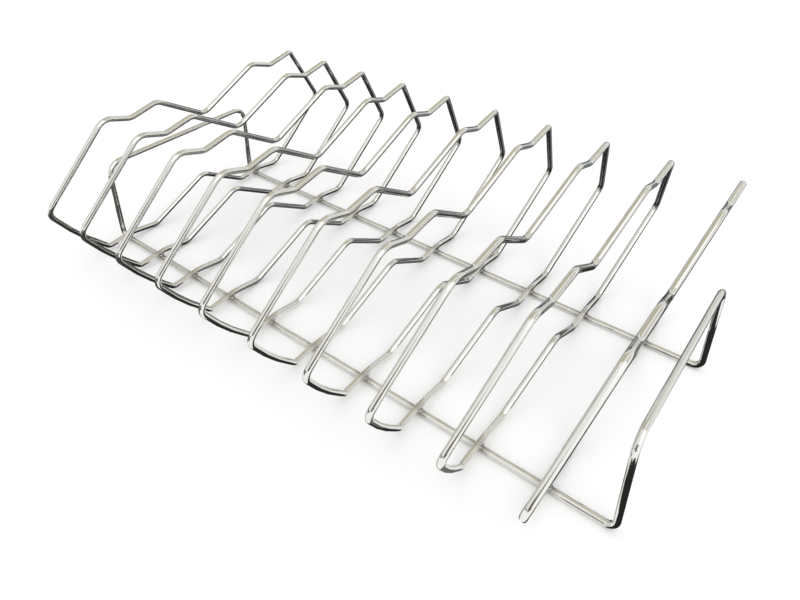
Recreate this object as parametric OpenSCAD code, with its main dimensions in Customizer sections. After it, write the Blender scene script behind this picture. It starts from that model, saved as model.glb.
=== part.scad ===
// Welded wire rib rack: ten upright zigzag loops on one bent base frame.
// Millimetres. The rack stands on z = 0, x runs along its length and
// the loops are centred on y = 0.

/* [Wire] */
// Diameter of the wire, the same for the frame and the loops
wire_d = 4; // [3:0.1:5]
// How far each loop is pressed into the rails by its welds
weld_sink = 0.3; // [0.2:0.05:0.6]
// Diameter of the rounded weld upset between a loop and a rail
weld_d = 5.2; // [4.9:0.1:6]

/* [Base frame] */
// Length of the frame between the centres of its two end handles
frame_l = 423; // [340:1:520]
// Distance between the centres of the two rails
rail_gap = 138; // [125:0.5:150]
// Height of the handles' top bars above the rails, centre to centre
handle_h = 66; // [45:1:90]
// Centre-line radius of the bends at the handles' feet
foot_r = 6; // [5.5:0.1:7]
// Straight rail between the left foot bends and the first loop
first_gap = 1.5; // [1:0.1:3]
// Straight rail between the last loop and the right foot bends, left free for the hand
last_gap = 31.5; // [10:0.5:60]
// Centre-line radius of the bends at the handles' top corners
handle_r = 11; // [7:0.5:20]

/* [Rib loops] */
// Number of loops
loop_count = 10; // [4:1:10]
// Lean of the loops from upright, in degrees, towards the right end
loop_lean = 13.5; // [0:0.5:20]
// Length of a loop across the rack, between its end corners
loop_l = 275; // [262:1:290]
// Height of a loop along its plane, between its upper and lower crests
loop_h = 123.5; // [100:0.5:140]
// How far the loops are set towards the far side of the frame
loop_offset = 6.5; // [5:0.1:9]

/* [Zigzag of a loop] */
// Distance from a rail line to the shoulder before it
shoulder_run = 20; // [17:0.5:24]
// Distance from a rail line to the notch beside it
notch_run = 1.8; // [0:0.1:3]
// Distance from a rail line to the peak after it
peak_run = 24.5; // [22:0.1:28]
// Depth of the notch between shoulder and peak on the upper side
notch_dip = 7.8; // [4:0.1:9]
// Depth of the same notch on the lower side, shallower so that the rails carry the rack
rail_notch_dip = 4.2; // [3:0.1:9]
// Drop of the peak below the shoulder
peak_dip = 2; // [0.8:0.1:2.6]
// Depth of the valley in the middle of a loop
valley_dip = 30.5; // [20:0.5:36]
// Centre-line radius of the bends at a loop's end corners
corner_r = 8; // [5:0.5:10]
// Centre-line radius of the sharp bend at the outer peaks
peak_r = 4; // [3:0.5:5]
// Centre-line radius of the shoulder, notch, peak and valley bends
bend_r = 9; // [5:0.5:10]

/* [Hidden] */
round_fn = 32;

// Bending draws the wire down by a hair, and each bend runs a short way into its neighbours
bend_thinning = 0.04;
bend_lap = 0.3;
bend_d = wire_d - bend_thinning;

// Heights in a loop's own plane, measured from its middle
crest = loop_h / 2;
notch = crest - notch_dip;
rail_notch = crest - rail_notch_dip;
peak = crest - peak_dip;
valley = crest - valley_dip;

// The rails run on either side of the loops' middle, and each one meets the loops
// between a lower peak and the notch after it
near_y = -rail_gap / 2 - loop_offset;
far_y = rail_gap / 2 - loop_offset;
weld_share = (peak_run - loop_offset) / (peak_run - notch_run);
weld_level = -peak + weld_share * (peak - rail_notch);

// The rack stands on its rails, or on the loops' lower shoulders if those hang lower
shoulder_drop = (crest + weld_level) * cos(loop_lean);
seat_rise = wire_d - weld_sink;
rail_z = wire_d / 2 + max(0, shoulder_drop - seat_rise);
weld_z = rail_z + seat_rise;
bar_z = rail_z + handle_h;

// The loops share out the rails between the two end gaps
left_x = -frame_l / 2;
right_x = frame_l / 2;
first_x = left_x + foot_r + first_gap;
last_x = right_x - foot_r - last_gap;
loop_pitch = (last_x - first_x) / (loop_count - 1);

// Zigzag of a loop from its near corner to its outer far peak, with notches at the given height.
// The lower side is the same line turned half a turn round the loop's middle.
function zigzag(notch_level) = [
    [-loop_l / 2, 0],
    [-rail_gap / 2 - shoulder_run, crest],
    [-rail_gap / 2 + notch_run, notch_level],
    [-rail_gap / 2 + peak_run, peak],
    [0, valley],
    [rail_gap / 2 - shoulder_run, crest],
    [rail_gap / 2 + notch_run, notch_level],
    [rail_gap / 2 + peak_run, peak]
];
zigzag_radii = [corner_r, bend_r, bend_r, bend_r, bend_r, bend_r, bend_r, peak_r];
loop_path = concat(
    [for (p = zigzag(notch)) [0, p[0], p[1]]],
    [for (p = zigzag(rail_notch)) [0, -p[0], -p[1]]]
);
loop_radii = concat(zigzag_radii, zigzag_radii);

// One closed wire: near rail, right handle, far rail, left handle
frame_path = [
    [left_x, near_y, rail_z], [right_x, near_y, rail_z], [right_x, near_y, bar_z], [right_x, far_y, bar_z],
    [right_x, far_y, rail_z], [left_x, far_y, rail_z], [left_x, far_y, bar_z], [left_x, near_y, bar_z]
];
frame_radii = [foot_r, foot_r, handle_r, handle_r, foot_r, foot_r, handle_r, handle_r];

function unit(v) = v / norm(v);
function next(path, i) = path[(i + 1) % len(path)];
function before(path, i) = path[(i + len(path) - 1) % len(path)];
function heading_in(path, i) = unit(path[i] - before(path, i));
function heading_out(path, i) = unit(next(path, i) - path[i]);
function turn(path, i) = acos(heading_in(path, i) * heading_out(path, i));
function setback(path, radii, i) = radii[i] * tan(turn(path, i) / 2);

// A straight length of wire from a to b
module straight_wire(a, b) {
    d = b - a;
    translate(a)
        rotate([0, acos(d[2] / norm(d)), atan2(d[1], d[0])])
            cylinder(h = norm(d), d = wire_d, $fn = round_fn);
}

// The bend at corner i of a path: it starts along heading t and curves towards s
module wire_bend(path, radii, i) {
    t = heading_in(path, i);
    b = heading_out(path, i);
    s = unit(b - (t * b) * t);
    n = cross(t, s);
    c = path[i] - t * setback(path, radii, i) + s * radii[i];
    lap = bend_lap / radii[i] * 180 / PI;
    multmatrix([
        [-s[0], t[0], n[0], c[0]],
        [-s[1], t[1], n[1], c[1]],
        [-s[2], t[2], n[2], c[2]],
        [0, 0, 0, 1]
    ])
        rotate([0, 0, -lap])
            rotate_extrude(angle = turn(path, i) + 2 * lap, $fn = 4 * round_fn)
                translate([radii[i], 0])
                    circle(d = bend_d, $fn = round_fn);
}

// A closed ring of wire along a path, with its own radius at each corner
module bent_wire(path, radii) {
    for (i = [0:len(path) - 1]) {
        wire_bend(path, radii, i);
        straight_wire(
            path[i] + heading_out(path, i) * setback(path, radii, i),
            next(path, i) - heading_out(path, i) * setback(path, radii, (i + 1) % len(path))
        );
    }
}

module base_frame_wire() {
    bent_wire(frame_path, frame_radii);
}

module loop_wire() {
    rotate([0, loop_lean, 0])
        translate([0, 0, -weld_level])
            bent_wire(loop_path, loop_radii);
}

// Weld metal squeezed out between a loop and the two rails
module weld_upsets() {
    for (y = [near_y, far_y])
        translate([0, y, (weld_sink - wire_d) / 2])
            sphere(d = weld_d, $fn = round_fn);
}

// Loop number i, seated in the rails with its two welds
module rib_loop(i) {
    color("silver")
        difference() {
            translate([first_x + i * loop_pitch, 0, weld_z]) {
                loop_wire();
                weld_upsets();
            }
            base_frame_wire();
        }
}

module base_frame() {
    color("lightgray") base_frame_wire();
}

base_frame();
for (i = [0:loop_count - 1])
    rib_loop(i);
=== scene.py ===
import bpy
import math
import numpy as np
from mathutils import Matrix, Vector


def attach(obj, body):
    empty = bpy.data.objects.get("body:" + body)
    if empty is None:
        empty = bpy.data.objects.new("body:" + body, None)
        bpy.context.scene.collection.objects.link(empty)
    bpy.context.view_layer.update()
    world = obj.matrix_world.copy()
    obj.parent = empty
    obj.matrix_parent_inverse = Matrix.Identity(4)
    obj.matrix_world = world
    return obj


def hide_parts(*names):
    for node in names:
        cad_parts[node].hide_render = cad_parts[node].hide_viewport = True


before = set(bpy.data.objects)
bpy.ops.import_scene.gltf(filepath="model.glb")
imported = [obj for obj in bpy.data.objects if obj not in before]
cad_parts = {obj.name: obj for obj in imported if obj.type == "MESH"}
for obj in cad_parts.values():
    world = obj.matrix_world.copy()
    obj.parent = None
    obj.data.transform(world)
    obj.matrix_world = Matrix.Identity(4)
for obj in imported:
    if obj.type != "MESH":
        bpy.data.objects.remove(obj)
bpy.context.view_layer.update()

mm = 0.001

wire = {
    "radius": 2.0,          # 4 mm drawn wire for the frame and the loops
    "aroundSteps": 32,      # points round the wire
    "bendStep": 6.0,        # degrees of bend from one ring to the next
    "straightStep": 6.0,    # mm of straight wire from one ring to the next
    "bendSqueeze": 0.035,   # how much a tight bend flattens the wire towards its inside
    "squeezeRadius": 4.0,   # mm, the bend radius at which the squeeze is full
}

baseFrame = {
    "length": 423.0,        # between the two handles
    "railGap": 138.0,       # between the two rails
    "loopOffset": 6.5,      # how far the loops are set towards the far side
    "handleHeight": 66.0,   # top bars above the rails
    "footRadius": 6.0,
    "handleRadius": 11.0,
    "firstGap": 1.5,        # straight rail before the first loop
    "lastGap": 31.5,        # straight rail after the last loop
}

ribLoops = {
    "count": 10,
    "lean": 13.5,           # degrees from upright, towards +X
    "length": 275.0,
    "height": 123.5,
    "shoulderRun": 20.0,
    "notchRun": 1.8,
    "peakRun": 24.5,
    "notchDip": 7.8,
    "railNotchDip": 4.2,    # the lower side's notches are shallower
    "peakDip": 2.0,
    "valleyDip": 30.5,
    "upperRadii": [10.0, 9.0, 9.0, 9.0, 9.0, 9.0, 9.0, 4.0],
    "lowerRadii": [8.0, 9.0, 9.0, 9.0, 9.0, 9.0, 9.0, 4.0],
    "bow": 3.4,             # corner in the short side below the near corner, pushed outwards by this
    "bowRadius": 300.0,     # and rounded into one long arc
    "weldSink": 0.3,        # how far a weld presses loop and rail together
}

weldBead = {
    "halfAlong": 2.9,       # mm along the rail
    "halfAcross": 2.8,      # mm along the loop's wire
    "halfHigh": 1.5,
    "lumps": 0.10,          # share of the radius that the beads vary by
    "aroundSteps": 28,
    "upSteps": 16,
    "heatReach": 6.0,       # mm of wire on each side that the weld has dulled and tinted, with painted crevice shade
}

steelLook = {
    "colour": "#E6E5E0",      # polished stainless
    "heatTintAndShadeColour": "#463E34",  # straw tint left by the weld, darkened as painted shade in the weld crevices
    "roughness": 0.05,
    "roughnessSpread": 0.05,
    "heatRoughness": 0.25,
    "lineLength": 26.0,       # mm, draw lines along the wire
    "lineWidth": 0.22,        # mm across; real ones are finer and would not show
    "lineDepth": 0.0022,      # mm
    "handling": 30.0,         # mm, size of the soft duller patches left by polishing
}

studio = {
    "floor": "#FFFFFF",
    "lampPower": 4.6,
    "lampSize": 1.2,
    "lampPlace": (1.22, -0.57, 0.87),
}

# boards and scrims that only the metal sees: lowest corner, highest corner (mm), colour
reflectionBoards = {
    "overheadScrim": ((-900, -150, 1000), (250, 900, 1000), "#C5BFAA"),
    "backScrim": ((-2200, 1600, 260), (1200, 1600, 2200), "#E2E3E0"),
    "leftScrim": ((-1600, -1500, 0), (-1600, 1600, 2200), "#C9C8C2"),
    "rightBackScrim": ((1600, 100, 550), (1600, 1600, 2200), "#D0CFC9"),
    "frontRightBoard": ((80, -600, 0), (460, -600, 250), "#6A675E"),
    "greyMatFrontFar": ((150, -600, 0.02), (460, -330, 0.02), "#5C5C58"),
    "lowBoardLeft": ((-700, 900, 0), (0, 900, 330), "#565E61"),
    "lowBoardRight": ((0, 900, 0), (400, 900, 200), "#C4C8C8"),
    "slateMat": ((-300, 172, 0.02), (450, 900, 0.02), "#707678"),
    "slateMatRight": ((195, 110, 0.02), (450, 172, 0.02), "#707678"),
    "blackMatBack": ((-250, 115, 0.02), (195, 172, 0.02), "#0A0C0E"),
    "slateMatBehindRail": ((-250, 67, 0.02), (168, 115, 0.02), "#24282A"),
    "darkMatLeft": ((-260, -70, 0.02), (-140, 56, 0.02), "#24282A"),
    "slateMatInside": ((-140, 18, 0.02), (168, 56, 0.02), "#565E62"),
    "greyMatLeft": ((-140, -70, 0.02), (-40, 18, 0.02), "#686C6C"),
    "paleMatInside": ((-40, -40, 0.02), (168, 18, 0.02), "#B4B4AE"),
    "blackMatRightMiddle": ((168, -70, 0.02), (262, 56, 0.02), "#0A0C0E"),
    "blackMatRightNear": ((180, -130, 0.02), (262, -90, 0.02), "#0A0C0E"),
    "blackMatRightFar": ((168, 69, 0.02), (262, 110, 0.02), "#0A0C0E"),
    "blackMatNearFoot": ((207, -90, 0.02), (262, -70, 0.02), "#0A0C0E"),
    "blackMatFarFoot": ((200, 56, 0.02), (262, 69, 0.02), "#0A0C0E"),
    "darkMatFront": ((-260, -130, 0.02), (-100, -84.5, 0.02), "#202324"),
    "darkMatFrontMiddle": ((-100, -130, 0.02), (100, -91.5, 0.02), "#202324"),
    "greyMatFrontRight": ((100, -130, 0.02), (160, -91.5, 0.02), "#6A6A68"),
    "darkMatFrontLeft": ((-320, -215, 0.02), (-60, -130, 0.02), "#3A3C3C"),
    "greyMatFront": ((-260, -900, 0.02), (0, -215, 0.02), "#747471"),
}

shot = {
    "position": (0.2538, -0.3084, 0.3243),
    "rotation": (60.08, 0.3, 38.02),
    "focalPixels": 685.4,
    "principal": (391.4, 179.4),
    "imageSize": (800, 600),
}


def hexColour(text):
    # sRGB hex to linear, channel by channel
    srgb = np.array([int(text[i:i + 2], 16) for i in (1, 3, 5)]) / 255
    linear = np.where(srgb <= 0.04045, srgb / 12.92, ((srgb + 0.055) / 1.055) ** 2.4)
    return (*linear.tolist(), 1.0)


def unit(vector):
    return vector / np.linalg.norm(vector, axis=-1, keepdims=True)


# where everything stands, in mm, from the sizes above
def loopSizes():
    r, b = ribLoops, baseFrame
    crest = r["height"] / 2
    peak = crest - r["peakDip"]
    railNotch = crest - r["railNotchDip"]
    share = (r["peakRun"] - b["loopOffset"]) / (r["peakRun"] - r["notchRun"])
    weldLevel = -peak + share * (peak - railNotch)
    seatRise = 2 * wire["radius"] - r["weldSink"]
    drop = (crest + weldLevel) * math.cos(math.radians(r["lean"]))
    railZ = wire["radius"] + max(0, drop - seatRise)
    firstX = -b["length"] / 2 + b["footRadius"] + b["firstGap"]
    lastX = b["length"] / 2 - b["footRadius"] - b["lastGap"]
    return {
        "crest": crest, "peak": peak, "valley": crest - r["valleyDip"],
        "notch": crest - r["notchDip"], "railNotch": railNotch,
        "weldLevel": weldLevel, "railZ": railZ, "weldZ": railZ + seatRise,
        "nearY": -b["railGap"] / 2 - b["loopOffset"],
        "farY": b["railGap"] / 2 - b["loopOffset"],
        "loopX": np.linspace(firstX, lastX, r["count"]),
    }


place = loopSizes()


def zigzag(notchLevel):
    # a loop's upper side in its own plane: across the rack, and up from its middle
    r, half = ribLoops, baseFrame["railGap"] / 2
    return np.array([
        [-r["length"] / 2, 0],
        [-half - r["shoulderRun"], place["crest"]],
        [-half + r["notchRun"], notchLevel],
        [-half + r["peakRun"], place["peak"]],
        [0, place["valley"]],
        [half - r["shoulderRun"], place["crest"]],
        [half + r["notchRun"], notchLevel],
        [half + r["peakRun"], place["peak"]],
    ])


def loopCorners(x):
    # the lower side is the upper one turned half a turn, then the plane leans about the weld line
    flat = np.vstack([zigzag(place["notch"]), -zigzag(place["railNotch"])])
    side = unit(flat[0] - flat[-1])
    bulge = (flat[0] + flat[-1]) / 2 + ribLoops["bow"] * np.array([side[1], -side[0]]) * -1
    flat = np.vstack([flat, bulge])
    lean = math.radians(ribLoops["lean"])
    up = flat[:, 1] - place["weldLevel"]
    return np.stack([x + up * math.sin(lean), flat[:, 0],
                     place["weldZ"] + up * math.cos(lean)], axis=1)


def frameCorners():
    half = baseFrame["length"] / 2
    low, high = place["railZ"], place["railZ"] + baseFrame["handleHeight"]
    near, far = place["nearY"], place["farY"]
    return np.array([
        [-half, near, low], [half, near, low], [half, near, high], [half, far, high],
        [half, far, low], [-half, far, low], [-half, far, high], [-half, near, high],
    ])


def centreLine(corners, radii):
    # each corner becomes an arc that touches both its legs; arcs are joined by straight runs.
    # Gives the points, the heading at each, the inward side of the bend, and how hard it bends
    count = len(corners)
    headIn = unit(corners - np.roll(corners, 1, axis=0))
    headOut = np.roll(headIn, -1, axis=0)
    turn = np.arccos(np.clip((headIn * headOut).sum(1), -1, 1))
    inward = unit(headOut - (headIn * headOut).sum(1, keepdims=True) * headIn)
    setback = radii * np.tan(turn / 2)
    centre = corners - headIn * setback[:, None] + inward * radii[:, None]
    points, headings, sides, bends = [], [], [], []
    for i in range(count):
        steps = max(3, math.ceil(math.degrees(turn[i]) / wire["bendStep"]))
        angle = np.linspace(0, turn[i], steps + 1)[:, None]
        points.append(centre[i] + radii[i] * (np.sin(angle) * headIn[i] - np.cos(angle) * inward[i]))
        headings.append(np.cos(angle) * headIn[i] + np.sin(angle) * inward[i])
        sides.append(np.cos(angle) * inward[i] - np.sin(angle) * headIn[i])
        # the squeeze grows and fades along the arc as half a sine wave
        bends.append(np.sin(angle[:, 0] / turn[i] * math.pi) * min(1, wire["squeezeRadius"] / radii[i]))
        start, end = points[-1][-1], corners[(i + 1) % count] - headOut[i] * setback[(i + 1) % count]
        runs = max(2, math.ceil(np.linalg.norm(end - start) / wire["straightStep"]))
        share = np.linspace(0, 1, runs + 1)[1:-1, None]
        points.append(start + share * (end - start))
        headings.append(np.repeat(headOut[i][None], len(share), axis=0))
        sides.append(np.repeat(sides[-1][-1:], len(share), axis=0))
        bends.append(np.zeros(len(share)))
    return np.vstack(points), np.vstack(headings), np.vstack(sides), np.concatenate(bends)


def carriedAxes(headings):
    # an axis square to the wire is carried from ring to ring without turning,
    # and what is left over at the joint is spread along the whole ring
    count = len(headings)
    axes = np.zeros_like(headings)
    seed = np.array([0.0, 0.0, 1.0]) if abs(headings[0][2]) < 0.9 else np.array([1.0, 0.0, 0.0])
    axes[0] = unit(seed - (seed @ headings[0]) * headings[0])
    for i in range(1, count + 1):
        last, here = headings[i - 1], headings[i % count]
        axis = axes[i - 1]
        cross = np.cross(last, here)
        axis = axis - (axis @ here) / (1 + last @ here) * (last + here) if np.linalg.norm(cross) > 1e-9 else axis
        axis = unit(axis - (axis @ here) * here)
        if i < count:
            axes[i] = axis
    over = math.atan2(np.cross(axis, axes[0]) @ headings[0], axis @ axes[0])
    spin = (np.arange(count) / count * over)[:, None]
    return axes * np.cos(spin) + np.cross(headings, axes) * np.sin(spin)


def sweptWire(corners, radii):
    # point = centre line + radius * (cos a * axis + sin a * (heading x axis)),
    # less a squeeze of bend * (direction . inward side) squared
    line, headings, sides, bends = centreLine(corners, np.array(radii))
    axes = carriedAxes(headings)
    angle = np.linspace(0, 2 * math.pi, wire["aroundSteps"], endpoint=False)
    cosA, sinA = np.cos(angle)[None, :, None], np.sin(angle)[None, :, None]
    direction = cosA * axes[:, None] + sinA * np.cross(headings, axes)[:, None]
    towards = (direction * sides[:, None]).sum(2)
    radius = wire["radius"] * (1 - wire["bendSqueeze"] * bends[:, None] * towards ** 2)
    verts = line[:, None] + direction * radius[:, :, None]
    gaps = np.linalg.norm(np.roll(line, -1, axis=0) - line, axis=1)
    along = np.concatenate([[0], np.cumsum(gaps)])
    return verts, line, along, angle


def ringFaces(rings, steps, first=0):
    # quads between neighbouring rings, closed both ways, wound to face outwards
    i, j = np.meshgrid(np.arange(rings), np.arange(steps), indexing="ij")
    i2, j2 = (i + 1) % rings, (j + 1) % steps
    quads = np.stack([i * steps + j, i2 * steps + j, i2 * steps + j2, i * steps + j2], axis=2)
    return quads.reshape(-1, 4) + first


def beadShell(centre, index):
    # radius = 1 + lumps * (three slow waves round it, shifted for each weld),
    # stretched to the bead's half sizes; the poles are closed with fans
    b = weldBead
    around = np.linspace(0, 2 * math.pi, b["aroundSteps"], endpoint=False)[None, :]
    up = np.linspace(0, math.pi, b["upSteps"] + 1)[1:-1][:, None]
    waves = (np.sin(3 * around + 1.7 * index) + 0.7 * np.cos(2 * around - 2.3 * index)
             + 0.5 * np.sin(5 * around + 0.9 * index)) * np.sin(up) ** 2
    radius = 1 + b["lumps"] * waves / 2
    body = np.stack([radius * np.sin(up) * np.cos(around) * b["halfAlong"],
                     radius * np.sin(up) * np.sin(around) * b["halfAcross"],
                     np.cos(up) * np.ones_like(around) * b["halfHigh"]], axis=2).reshape(-1, 3)
    poles = np.array([[0, 0, b["halfHigh"]], [0, 0, -b["halfHigh"]]])
    steps, rows = b["aroundSteps"], b["upSteps"] - 1
    i, j = np.meshgrid(np.arange(rows - 1), np.arange(steps), indexing="ij")
    j2 = (j + 1) % steps
    quads = np.stack([i * steps + j, (i + 1) * steps + j, (i + 1) * steps + j2, i * steps + j2], axis=2).reshape(-1, 4)
    j = np.arange(steps)
    top, bottom = rows * steps, rows * steps + 1
    fans = [[top, a, c] for a, c in zip(j, (j + 1) % steps)]
    last = (rows - 1) * steps
    fans += [[bottom, last + c, last + a] for a, c in zip(j, (j + 1) % steps)]
    return np.vstack([body, poles]) + centre, quads.tolist() + fans


def addPiece(name, node, corners, radii, welds, material):
    verts, line, along, angle = sweptWire(corners, radii)
    rings, steps = verts.shape[:2]
    faces = ringFaces(rings, steps)
    # u runs along the wire and v round it, both in metres, so patterns keep their real size
    i, j = np.meshgrid(np.arange(rings), np.arange(steps), indexing="ij")
    around = np.append(angle, 2 * math.pi) * wire["radius"]
    u = np.stack([along[i], along[i + 1], along[i + 1], along[i]], axis=2)
    v = np.stack([around[j], around[j], around[j + 1], around[j + 1]], axis=2)
    uv = np.stack([u, v], axis=3).reshape(-1, 2) * mm
    allVerts = verts.reshape(-1, 3)
    faceList = faces.tolist()
    beadUv = []
    if ribLoops and node != "base_frame":
        for number, spot in enumerate(welds):
            shell, shellFaces = beadShell(spot, number + 2 * int(node[-2:]))
            faceList += [[k + len(allVerts) for k in f] for f in shellFaces]
            corner = np.concatenate([shell[f] for f in shellFaces])
            beadUv.append(corner[:, :2] * mm)
            allVerts = np.vstack([allVerts, shell])
    mesh = bpy.data.meshes.new(name)
    mesh.from_pydata((allVerts * mm).tolist(), [], faceList)
    mesh.update()
    layer = mesh.uv_layers.new(name="alongWire")
    layer.data.foreach_set("uv", np.vstack([uv] + beadUv).ravel())
    # 1 at a weld, falling to 0 over the weld's reach; it dulls the wire and mixes in the weld's tint, darkened as
    # painted crevice shade
    near = np.min(np.linalg.norm(allVerts[:, None] - np.array(welds)[None], axis=2), axis=1)
    heatAndShade = np.clip(1 - near / weldBead["heatReach"], 0, 1)
    mesh.attributes.new("weldHeatAndShade", "FLOAT", "POINT").data.foreach_set("value", heatAndShade)
    mesh.polygons.foreach_set("use_smooth", np.ones(len(mesh.polygons), dtype=bool))
    mesh.materials.append(material)
    piece = bpy.data.objects.new(name, mesh)
    bpy.context.scene.collection.objects.link(piece)
    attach(piece, "root")
    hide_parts(node)
    return piece


def addNode(tree, kind, settings=None, links=None):
    # one shader node with its settings, and links given as {input: (node, output)}
    node = tree.nodes.new(kind)
    for key, value in (settings or {}).items():
        if isinstance(key, int) or key in node.inputs:
            node.inputs[key].default_value = value
        else:
            setattr(node, key, value)
    for key, (source, output) in (links or {}).items():
        tree.links.new(source.outputs[output], node.inputs[key])
    return node


def polishedWire():
    # drawn stainless wire, bent, welded and then polished bright: sharp reflections,
    # faint draw lines along the wire, softer patches, and dull straw-tinted welds darkened with painted crevice shade
    s = steelLook
    material = bpy.data.materials.new("polishedDrawnStainlessWire")
    material.use_nodes = True
    tree = material.node_tree
    shader = tree.nodes["Principled BSDF"]
    shader.inputs["Metallic"].default_value = 1.0
    uv = addNode(tree, "ShaderNodeUVMap", {"uv_map": "alongWire"})
    lineScale = (1 / (s["lineLength"] * mm), 1 / (s["lineWidth"] * mm), 1)
    stretched = addNode(tree, "ShaderNodeMapping", {"Scale": lineScale}, {"Vector": (uv, "UV")})
    drawLines = addNode(tree, "ShaderNodeTexNoise", {"Scale": 1.0, "Detail": 3.0}, {"Vector": (stretched, "Vector")})
    spot = addNode(tree, "ShaderNodeTexCoord")
    patches = addNode(tree, "ShaderNodeTexNoise", {"Scale": 1 / (s["handling"] * mm), "Detail": 2.0},
                      {"Vector": (spot, "Object")})
    heatAndShade = addNode(tree, "ShaderNodeAttribute", {"attribute_name": "weldHeatAndShade"})
    low, spread = s["roughness"], s["roughnessSpread"]
    fromLines = addNode(tree, "ShaderNodeMapRange", {"From Min": 0.3, "From Max": 0.7, "To Min": low, "To Max": low + spread},
                        {"Value": (drawLines, "Fac")})
    fromPatches = addNode(tree, "ShaderNodeMapRange", {"From Min": 0.35, "From Max": 0.65, "To Min": 0.0, "To Max": spread / 2},
                          {"Value": (patches, "Fac")})
    polish = addNode(tree, "ShaderNodeMath", {"operation": "ADD"}, {0: (fromLines, "Result"), 1: (fromPatches, "Result")})
    roughness = addNode(tree, "ShaderNodeMath", {"operation": "MULTIPLY_ADD", 1: s["heatRoughness"]},
                        {0: (heatAndShade, "Fac"), 2: (polish, "Value")})
    tree.links.new(roughness.outputs["Value"], shader.inputs["Roughness"])
    # painted shade: the weld's straw tint is darkened so that each weld shows dark crevice shade
    tint = addNode(tree, "ShaderNodeMix", {"data_type": "RGBA", 6: hexColour(s["colour"]), 7: hexColour(s["heatTintAndShadeColour"])},
                   {0: (heatAndShade, "Fac")})
    tree.links.new(tint.outputs[2], shader.inputs["Base Color"])
    bump = addNode(tree, "ShaderNodeBump", {"Distance": s["lineDepth"] * mm, "Strength": 1.0}, {"Height": (drawLines, "Fac")})
    tree.links.new(bump.outputs["Normal"], shader.inputs["Normal"])
    return material


steel = polishedWire()
print("material ready")

nearWelds = np.stack([place["loopX"], np.full(ribLoops["count"], place["nearY"]),
                      np.full(ribLoops["count"], place["weldZ"] - wire["radius"] + ribLoops["weldSink"] / 2)], axis=1)
farWelds = nearWelds + [0, place["farY"] - place["nearY"], 0]

foot, top = baseFrame["footRadius"], baseFrame["handleRadius"]
addPiece("BaseFrameWire", "base_frame", frameCorners(), [foot, foot, top, top] * 2,
         np.vstack([nearWelds, farWelds]), steel)
print("base frame swept")

loopRadii = ribLoops["upperRadii"] + ribLoops["lowerRadii"] + [ribLoops["bowRadius"]]
for number in range(ribLoops["count"]):
    label = f"{number + 1:02d}"
    addPiece(f"RibLoopWire_{label}", f"rib_loop_{label}", loopCorners(place["loopX"][number]),
             loopRadii, np.stack([nearWelds[number], farWelds[number]]), steel)
print("rib loops swept")


def plainMaterial(name, colour, roughness):
    material = bpy.data.materials.new(name)
    material.use_nodes = True
    shader = material.node_tree.nodes["Principled BSDF"]
    shader.inputs["Base Color"].default_value = hexColour(colour)
    shader.inputs["Roughness"].default_value = roughness
    return material


def addSheet(name, corners, material):
    mesh = bpy.data.meshes.new(name)
    mesh.from_pydata(corners, [], [list(range(len(corners)))])
    mesh.materials.append(material)
    sheet = bpy.data.objects.new(name, mesh)
    bpy.context.scene.collection.objects.link(sheet)
    return sheet


def reflectionCard(name, corners, material):
    # a card that only the metal sees, as one held out of the picture would be
    card = addSheet(name, corners, material)
    card.visible_camera = False
    card.visible_diffuse = False
    card.visible_shadow = False
    return card


# fully matt paper, so that it doesn't mirror the cards laid just above it
floorMaterial = plainMaterial("mattPaleStudioPaper", studio["floor"], 0.9)
floorMaterial.node_tree.nodes["Principled BSDF"].inputs["Specular IOR Level"].default_value = 0.0
addSheet("StudioFloor", [(-6, -6, 0), (6, -6, 0), (6, 6, 0), (-6, 6, 0)], floorMaterial)

for name, (low, high, colour) in reflectionBoards.items():
    (x0, y0, z0), (x1, y1, z1) = np.array(low) * mm, np.array(high) * mm
    if z0 == z1:
        corners = [(x0, y0, z0), (x1, y0, z0), (x1, y1, z0), (x0, y1, z0)]
    else:
        corners = [(x0, y0, z0), (x1, y1, z0), (x1, y1, z1), (x0, y0, z1)]
    reflectionCard(name, corners, plainMaterial(name + "Card", colour, 0.9))

world = bpy.data.worlds.new("studioWorld")
bpy.context.scene.world = world
world.use_nodes = True
world.node_tree.nodes["Background"].inputs["Color"].default_value = (1, 1, 1, 1)
world.node_tree.nodes["Background"].inputs["Strength"].default_value = 1.0

lamp = bpy.data.lights.new("softTopLight", "AREA")
lamp.energy = studio["lampPower"]
lamp.size = studio["lampSize"]
lampObject = bpy.data.objects.new("SoftTopLight", lamp)
lampObject.location = studio["lampPlace"]
lampObject.rotation_euler = (-Vector(studio["lampPlace"])).to_track_quat("-Z", "Y").to_euler()
bpy.context.scene.collection.objects.link(lampObject)

camera = bpy.data.cameras.new("photoCamera")
width, height = shot["imageSize"]
camera.sensor_width = 36
camera.sensor_fit = "HORIZONTAL"
camera.lens = shot["focalPixels"] / width * camera.sensor_width
camera.shift_x = (width / 2 - shot["principal"][0]) / width
camera.shift_y = (shot["principal"][1] - height / 2) / width
camera.clip_start = 0.01
cameraObject = bpy.data.objects.new("PhotoCamera", camera)
cameraObject.location = shot["position"]
cameraObject.rotation_euler = [math.radians(a) for a in shot["rotation"]]
bpy.context.scene.collection.objects.link(cameraObject)
bpy.context.scene.camera = cameraObject
bpy.context.scene.view_settings.view_transform = "Standard"
print("stage and camera set")


bpy.context.view_layer.update()
